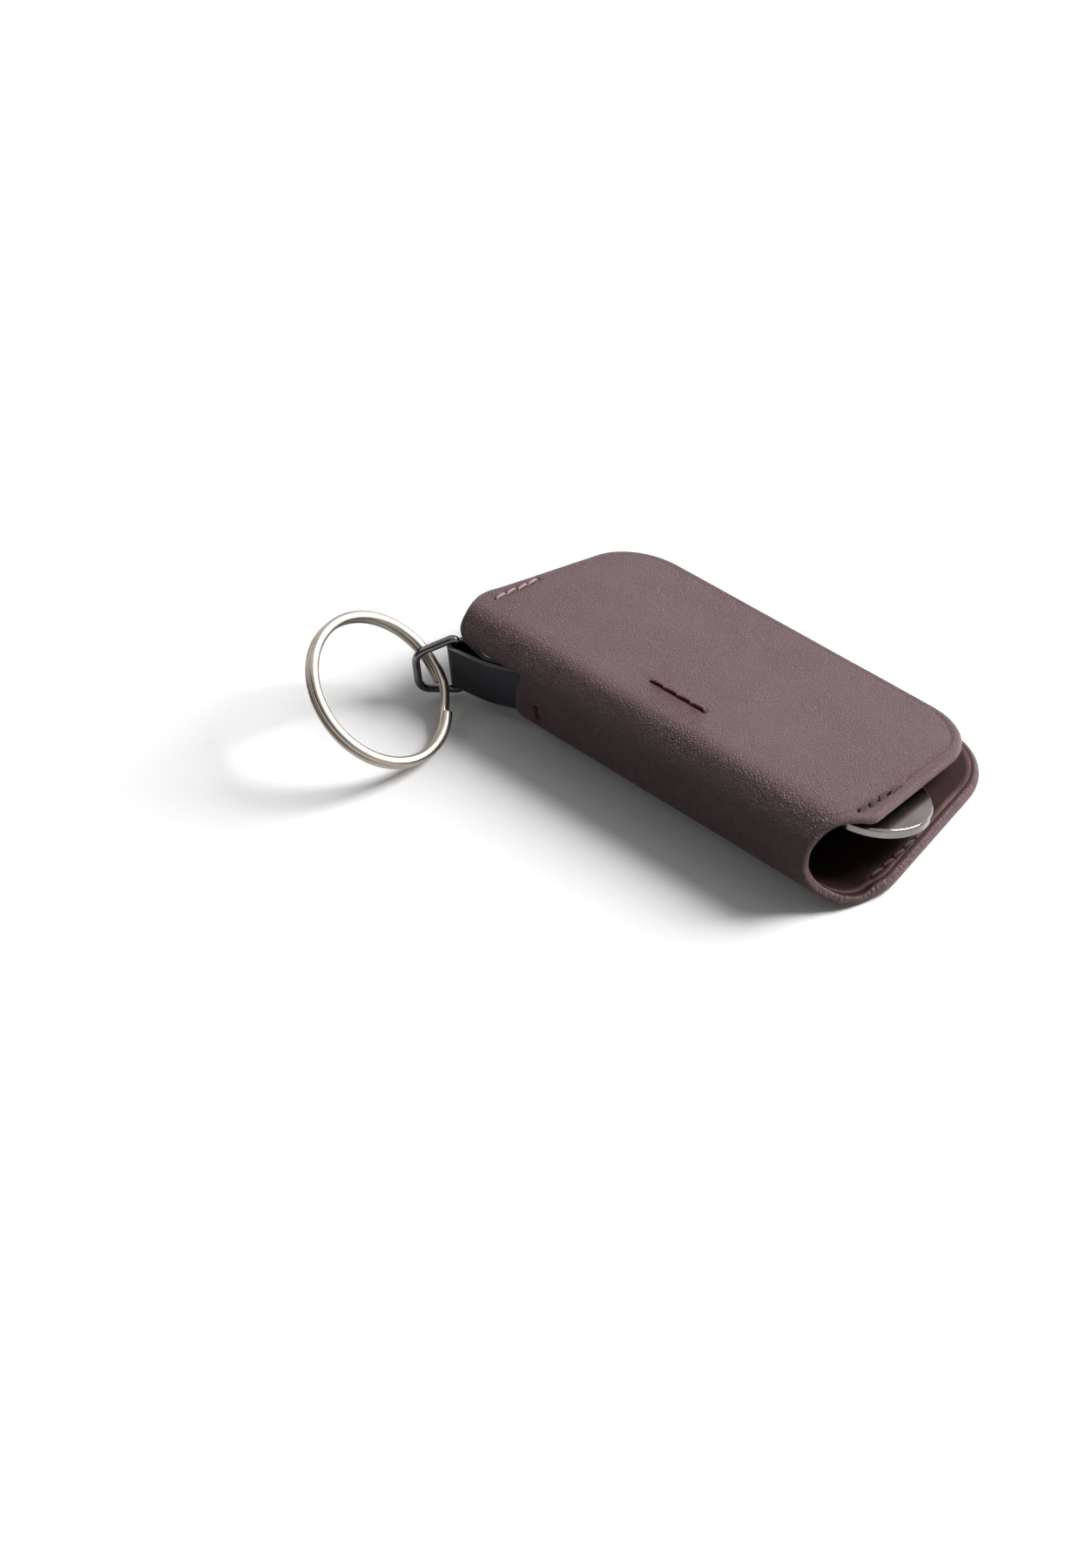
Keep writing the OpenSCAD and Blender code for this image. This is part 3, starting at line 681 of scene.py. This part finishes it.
rows = np.unique(np.round(np.concatenate(
    [LIN_IN - far_rows(0, 3.2), np.arange(LIN_IN + 3.6, LOW_LEN + LIN_ROUND, ROW_STEP)]), 4))
lining("lining_lower_sheet", rows, left_end(rows, SHIFT, LOW_LEFT_X, LIN_IN),
       soften(right_end(rows, LIN_IN), rows, SOFT_FROM, SOFT_MID, MOUTH_SOFT),
       LOW_RUNS, "base", "lining_lower")
end = S_UP + UP_LEN - LIN_IN
rows = np.unique(np.round(np.concatenate(
    [far_rows(end, 3.2), np.arange(end - 3.6, S_UP - LIN_ROUND, -ROW_STEP)]), 4))
lining("lining_upper_sheet", rows,
       soften(left_end(rows, -SHIFT, LIP_X, LIN_IN), rows, SOFT_MID, SOFT_TO, 2.0),
       soften(right_end(rows, LIN_IN), rows, S_SEAM, SOFT_TO, MOUTH_SOFT),
       UP_RUNS, "cover", "lining_upper")


# ---- stitches: two-ply thread, one tube a stitch ----

# sideways slant and wavering of a stitch, how deep its ends dive, how high its middle stands
SLANT, WAVER, DIVE, ARCH = 0.42, 0.07, 0.62, 0.10
# the plies: turns in one stitch, and how far they stand out as a share of the radius
TWISTS, PLY = 2.2, 0.14


def stitches(name, runs, level, inward, mat, body, nodes, r0=0.31):
    """level is the depth the thread lies at; inward is 1 on the outer face, -1 on the inner one."""
    verts, faces = [], []
    around, along = 12, 30
    for run in runs:
        for number, (a, b) in enumerate(zip(run, run[1:])):
            t = np.linspace(0.01, 0.99, along)
            line = a[None] + (b - a)[None] * t[:, None]
            side = np.array([-(b - a)[1], (b - a)[0]]) / np.linalg.norm(b - a)
            waver = WAVER * math.sin(2.7 * number + a[0])
            line = line + side * (waver + SLANT * (t[:, None] - 0.5))
            end_drop = DIVE * (np.abs(2 * t - 1) ** 7)
            depth = level + inward * (end_drop - ARCH * (1 - (2 * t - 1) ** 2))
            mid = wrap(line[:, 0], line[:, 1], depth)
            tang = np.gradient(mid, axis=0)
            tang /= np.linalg.norm(tang, axis=1)[:, None]
            outw = wrap(line[:, 0], line[:, 1], depth - inward * 0.1) - mid
            sd = np.cross(tang, outw)
            sd /= np.linalg.norm(sd, axis=1)[:, None]
            u = np.cross(sd, tang)
            base = len(verts)
            for i in range(along):
                twist = 2 * math.pi * TWISTS * t[i]
                taper = 0.82 + 0.18 * math.sin(math.pi * t[i])
                for k in range(around):
                    ph = 2 * math.pi * k / around
                    rr = r0 * (1 + PLY * math.cos(2 * (ph - twist))) * taper
                    verts.append(mid[i] + rr * (math.cos(ph) * sd[i] + math.sin(ph) * u[i]))
            for i in range(along - 1):
                for k in range(around):
                    a0, b0 = base + i * around + k, base + i * around + (k + 1) % around
                    faces.append((a0, b0, b0 + around, a0 + around))
            faces.append(tuple(base + k for k in range(around))[::-1])
            faces.append(tuple(base + (along - 1) * around + k for k in range(around)))
    ob = finish_mesh(name, verts, faces, None, None, [mat], None, body)
    if nodes:
        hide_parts(*nodes)


# depth of the threads on the inner face
INSIDE = LEATHER + LINING - 0.2
stitches("thread_upper_outside", UP_RUNS[1:2], 0.17, 1, THREAD_UP, "cover", ["stitches_upper"])
stitches("thread_upper_middle", UP_RUNS[2:], -0.02, 1, THREAD_MID, "cover", [], 0.44)
stitches("thread_upper_left", UP_RUNS[:1], 0.12, 1, THREAD_PALE, "cover", [], 0.27)
stitches("thread_upper_inside", UP_RUNS, INSIDE, -1, THREAD_IN, "cover", [], 0.25)
stitches("thread_lower_outside", LOW_RUNS, 0.48, 1, THREAD_UP, "base", ["stitches_lower"])
stitches("thread_lower_inside", LOW_RUNS, INSIDE, -1, THREAD_IN, "base", [], 0.25)
stitches("thread_strap", TAB_RUN, 0.12, 1, THREAD, "base", ["tab_stitch"], 0.42)


# ---- strap ----

# width and thickness in the CAD, length from the slot to the fold and behind the slot
STRAP_W, STRAP_T, FREE, SEWN = 9.1, 1.2, 14.4, 16.8
# thickness shown, and how far the free part sags
SHOWN_T, SAG = 0.85, 0.6
# where the strap leaves its slot, and how it is turned there, outwards and downwards
TAB_AT = np.array([-29.8, -23.55, 8.7])
OUT, DROOP = math.radians(9), math.radians(5.4)
# the loop's bar and the second layer, behind the front layer
BAR_Y = 0.6 + 1.5 * math.sqrt(2) / 2 + 0.1
BACK_Y = 1.24


def tab_turn(v):
    """Local strap coordinates to the row frame's directions."""
    v = np.atleast_2d(v)
    x = v[:, 0] * math.cos(DROOP) - v[:, 2] * math.sin(DROOP)
    z = v[:, 2] * math.cos(DROOP) + v[:, 0] * math.sin(DROOP)
    return np.column_stack([x * math.cos(OUT) - v[:, 1] * math.sin(OUT),
                            x * math.sin(OUT) + v[:, 1] * math.cos(OUT), z])


# centre line in plan, hinge at (0, 0): front layer, fold round the bar, second layer
path = [np.column_stack([np.linspace(SEWN, -FREE, 120), np.zeros(120)])]
fold = np.linspace(0, math.pi, 24)[1:]
path.append(np.column_stack([-FREE - BAR_Y * np.sin(fold), BAR_Y - BAR_Y * np.cos(fold)]))
path.append(np.column_stack([np.linspace(-FREE + 0.4, -8.2, 16),
                             np.linspace(2 * BAR_Y - 0.1, BACK_Y, 16)]))
path.append(np.column_stack([np.linspace(-7.8, -3.0, 12), np.full(12, BACK_Y)]))
path = np.vstack(path)
length = np.concatenate([[0], np.cumsum(np.linalg.norm(np.diff(path, axis=0), axis=1))])
aa = np.linspace(0, length[-1], 260)
px, py = np.interp(aa, length, path[:, 0]), np.interp(aa, length, path[:, 1])
box5 = np.ones(5) / 5
for _ in range(2):
    px[2:-2], py[2:-2] = np.convolve(px, box5, "valid"), np.convolve(py, box5, "valid")
tx, ty = np.gradient(px), np.gradient(py)
tn = np.hypot(tx, ty)
# pointing into the fold; the outer face is the other way
norm_x, norm_y = ty / tn, -tx / tn
# radius of the sewn part's middle, inside the spine
MID_R = 6.85 - STRAP_T / 2


def strap_place(v, a, depth):
    """Flat strap (v across, a along) to its place: sewn part round the spine, free part hanging."""
    off = SHOWN_T / 2 - depth
    x, y = np.interp(a, aa, px), np.interp(a, aa, py)
    nx, ny = np.interp(a, aa, norm_x), np.interp(a, aa, norm_y)
    lx, ly = x - nx * off, y - ny * off
    sag = SAG * np.sin(math.pi * np.clip(-x / FREE, 0, 1)) ** 2
    free = TAB_AT + tab_turn(np.column_stack([lx, ly, v - sag]))
    straight = TAB_AT + np.column_stack([lx, ly, v])
    rad = MID_R + off
    curved = np.column_stack([TAB_AT[0] + lx, SPINE_Y - rad * np.cos(v / MID_R),
                              SPINE_R + rad * np.sin(v / MID_R)])
    hung = smooth01((1.6 - x) / 3.2)[:, None]
    flatten = smooth01((0.8 - x) / 4.0)[:, None]
    held = curved * (1 - flatten) + straight * flatten
    return held * (1 - hung) + free * hung


STRAP_RIM = 0.12
va = np.linspace(-STRAP_W / 2 + STRAP_RIM, STRAP_W / 2 - STRAP_RIM, 22)
ra = np.linspace(STRAP_RIM, length[-1] - STRAP_RIM, 240)
strap = shell("strap", np.repeat(va[None], len(ra), 0), np.repeat(ra[:, None], len(va), 1),
              np.ones((len(ra) - 1, len(va) - 1), bool), SHOWN_T, strap_place, STRAP_RIM,
              sink=lambda f, near: undulate(f, 5, 0.06), mats=[STRAP, SUEDE_PAINTED_LIGHT], rim_mat=1)
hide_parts("strap_sewn", "strap_free")
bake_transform(strap)


# ---- wire loop ----

# how far the loop is turned about its bar, and the wire's thickness
TURN, WIRE_T = math.radians(44), 1.5


def loop_point(p):
    """Loop coordinates (outwards (-), across the loop's plane, along the bar) to the row frame."""
    p = np.atleast_2d(p)
    q = np.column_stack([p[:, 0] * math.cos(TURN) - p[:, 1] * math.sin(TURN) - FREE,
                         p[:, 0] * math.sin(TURN) + p[:, 1] * math.cos(TURN) + BAR_Y, p[:, 2]])
    return TAB_AT + tab_turn(q)


# circles that the wire's middle goes round: outwards (-), along the bar, radius
corners = [(-1.05, 4.85, 1.05), (-5.55, 2.0, 2.65), (-5.55, -2.0, 2.65), (-1.05, -4.85, 1.05)]


def hull_path(cs):
    """Points round the circles (u, w, r), counter-clockwise, with straight runs between."""
    pts = []
    n = len(cs)
    angs = []
    for i in range(n):
        (u0, w0, r0), (u1, w1, r1) = cs[i], cs[(i + 1) % n]
        d = math.hypot(u1 - u0, w1 - w0)
        angs.append(math.atan2(w1 - w0, u1 - u0) - math.acos((r0 - r1) / d))
    for i in range(n):
        u, w, r = cs[i]
        a0, a1 = angs[i - 1], angs[i]
        while a1 < a0:
            a1 += 2 * math.pi
        pts += [(u + r * math.cos(a), w + r * math.sin(a)) for a in np.linspace(a0, a1, 14)]
    pts = np.array(pts)
    closed = np.vstack([pts, pts[:1]])
    d = np.concatenate([[0], np.cumsum(np.linalg.norm(np.diff(closed, axis=0), axis=1))])
    t = np.linspace(0, d[-1], 181)[:-1]
    return np.column_stack([np.interp(t, d, closed[:, 0]), np.interp(t, d, closed[:, 1])])


outline = hull_path(corners)
tangent = np.roll(outline, -1, 0) - np.roll(outline, 1, 0)
tangent /= np.linalg.norm(tangent, axis=1)[:, None]
zero = np.zeros(len(outline))
wire_mid = loop_point(np.column_stack([outline[:, 0], zero, outline[:, 1]]))
wire_out = loop_point(np.column_stack([outline[:, 0] + tangent[:, 1], zero,
                                       outline[:, 1] - tangent[:, 0]])) - wire_mid
wire_up = loop_point(np.column_stack([outline[:, 0], zero + 1, outline[:, 1]])) - wire_mid
loop_wire = sweep("wire_loop_bent", wire_mid, wire_out, wire_up, crowned(WIRE_T, WIRE_T, 2.5),
                  True, [WIRE], "loop")
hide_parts("wire_loop")


# ---- split ring: one wire, two turns ----

# radius of the wire's middle, its size along the ring's axis and across it, distance of the turns
RING_AXIS, COIL, RING_W, COIL_GAP = 14.55, 1.3, 1.9, 1.31
# how the ring is tipped and turned, and its middle
TIP, AZ, HANG = math.radians(90 - 50.5), math.radians(17.6), math.radians(65.6)
RING_CENTRE = np.array([-47.59478, -42.01309, 10.90232])


def ring_dirs(v):
    """Directions in the ring's own frame to the row frame."""
    m = Matrix.Rotation(AZ, 3, "Z") @ Matrix.Rotation(TIP, 3, "Y") @ Matrix.Rotation(HANG, 3, "Z")
    return np.asarray(v) @ np.array(m).T


# where the wire steps from one turn to the other, and half the angle that the step takes
CROSS, SPREAD = math.radians(-24), math.radians(13)
t = np.linspace(SPREAD, 4 * math.pi - SPREAD, 420)
rise = -COIL_GAP / 2 + COIL_GAP * smooth01((t - (2 * math.pi - SPREAD)) / (2 * SPREAD))
# the free ends stand a hair away from the turn beside them
lift_end = 0.02 * (np.exp(-((t - SPREAD) / 0.5)) * -1 + np.exp(-((4 * math.pi - SPREAD - t) / 0.5)))
c = np.column_stack([np.cos(t + CROSS) * RING_AXIS, np.sin(t + CROSS) * RING_AXIS, rise + lift_end])
rad = np.column_stack([np.cos(t + CROSS), np.sin(t + CROSS), 0 * t])
ax = np.repeat([[0.0, 0.0, 1.0]], len(t), 0)
ring = sweep("split_ring_wire", RING_CENTRE + ring_dirs(c), ring_dirs(rad), ring_dirs(ax),
             crowned(RING_W, COIL - 0.02, 2.25), False, [NICKEL], "ring")
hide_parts("split_ring")
bev = ring.modifiers.new("ends", "BEVEL")
bev.width = 0.12 * MM
bev.segments = 2
bev.limit_method = "ANGLE"
bev.angle_limit = math.radians(50)

# ---- carried-over CAD nodes ----

for node, mat in {"key": KEY_PAINTED_DARK, "post_barrel": STEEL, "post_washer": STEEL, "post_screw": STEEL,
                  "post_spacer": PLASTIC, "magnets_lower": MAGNET, "magnets_upper": MAGNET}.items():
    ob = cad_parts[node]
    ob.data.materials.clear()
    ob.data.materials.append(mat)


# ---- floor, light and camera ----

def floor():
    """White to the camera and in reflections, grey to the light that falls on the object."""
    me = bpy.data.meshes.new("floor")
    s = 3.0
    me.from_pydata([(-s, -s, 0), (s, -s, 0), (s, s, 0), (-s, s, 0)], [], [(0, 1, 2, 3)])
    ob = bpy.data.objects.new("floor", me)
    ob.location.z = -0.00002
    bpy.context.collection.objects.link(ob)
    m, nt, bsdf = start_material("floor", {"Base Color": (0.86, 0.86, 0.86, 1), "Roughness": 0.7,
                                           "Specular IOR Level": 0.2})
    rays = add(nt, "LightPath")
    see = math_node(nt, "MAXIMUM", rays.outputs["Is Camera Ray"], rays.outputs["Is Glossy Ray"])
    see = math_node(nt, "MAXIMUM", see, rays.outputs["Is Transmission Ray"])
    # painted light on the floor: a camera-seen glow that grows with distance from the middle, so the far
    # floor turns white and shadows far out fade
    at = add(nt, "TexCoord").outputs["Object"]
    away = add(nt, "VectorMath", {0: at}, operation="LENGTH").outputs["Value"]
    glow = add(nt, "MapRange", {"Value": away, "From Min": 0.05, "From Max": 0.32,
                                "To Min": 0.04, "To Max": 1.0}, interpolation_type="SMOOTHSTEP").outputs[0]
    nt.links.new(math_node(nt, "MULTIPLY", see, glow), bsdf.inputs["Emission Strength"])
    nt.links.new(mix(nt, see, (0.43, 0.43, 0.43), (0.88, 0.88, 0.88)), bsdf.inputs["Base Color"])
    bsdf.inputs["Emission Color"].default_value = (1, 1, 1, 1)
    me.materials.append(m)


floor()
world = bpy.data.worlds.new("studio")
bpy.context.scene.world = world
world.use_nodes = True
wn = world.node_tree
bg = wn.nodes["Background"]
ray = add(wn, "LightPath")
# the camera sees plain white, while the light comes mostly from above and behind
LIT_FROM = (0.10, 0.82, 0.56)
seen = math_node(wn, "MAXIMUM", ray.outputs["Is Camera Ray"], ray.outputs["Is Transmission Ray"])
bg.inputs["Color"].default_value = (1, 1, 1, 1)
way = add(wn, "TexCoord").outputs["Generated"]
toward = add(wn, "VectorMath", {0: way, 1: LIT_FROM}, operation="DOT_PRODUCT").outputs["Value"]
sky = add(wn, "MapRange", {"Value": toward, "From Min": 0.34, "From Max": 0.95,
                           "To Min": 0.02, "To Max": 0.52}, interpolation_type="SMOOTHSTEP").outputs[0]
# metal reflects the white too, only darker low at the front
shine = add(wn, "MapRange", {"Value": toward, "From Min": -0.20, "From Max": 0.48,
                             "To Min": 0.05, "To Max": 1.0}, interpolation_type="SMOOTHSTEP").outputs[0]
shine = math_node(wn, "MULTIPLY", shine, ray.outputs["Is Glossy Ray"])
sky = math_node(wn, "MULTIPLY", math_node(wn, "MAXIMUM", sky, shine), math_node(wn, "SUBTRACT", 1.0, seen))
wn.links.new(math_node(wn, "ADD", sky, seen), bg.inputs["Strength"])


def area(name, at, to, size, watts):
    """Soft rectangular lamp at a place in metres, turned towards to."""
    li = bpy.data.lights.new(name, "AREA")
    li.shape = "RECTANGLE"
    li.size, li.size_y = size
    li.energy = watts
    ob = bpy.data.objects.new(name, li)
    ob.location = at
    ob.rotation_euler = (Vector(to) - Vector(at)).to_track_quat("-Z", "Y").to_euler()
    bpy.context.collection.objects.link(ob)


area("key_light", (0.22, 0.42, 0.395), (0, 0, 0), (0.30, 0.30), 7.2)
area("side_light", (-0.45, -0.20, 0.40), (0, 0, 0), (0.25, 0.25), 0.25)

# focal length in pixels of the 1247 x 1800 picture; the sensor's width goes with the long side
FOCAL_PX, PICTURE_H, SENSOR = 3355.5, 1800, 36
cam = bpy.data.cameras.new("camera")
cam.sensor_width = SENSOR
cam.lens = FOCAL_PX / PICTURE_H * SENSOR
cam.clip_start, cam.clip_end = 0.01, 20
cam_ob = bpy.data.objects.new("camera", cam)
cam_ob.location = (0.2371, -0.3186, 0.3710)
cam_ob.rotation_euler = Vector((-0.4756, 0.5373, -0.6966)).to_track_quat("-Z", "Y").to_euler()
bpy.context.collection.objects.link(cam_ob)
scene = bpy.context.scene
scene.camera = cam_ob
scene.view_settings.view_transform = "Standard"
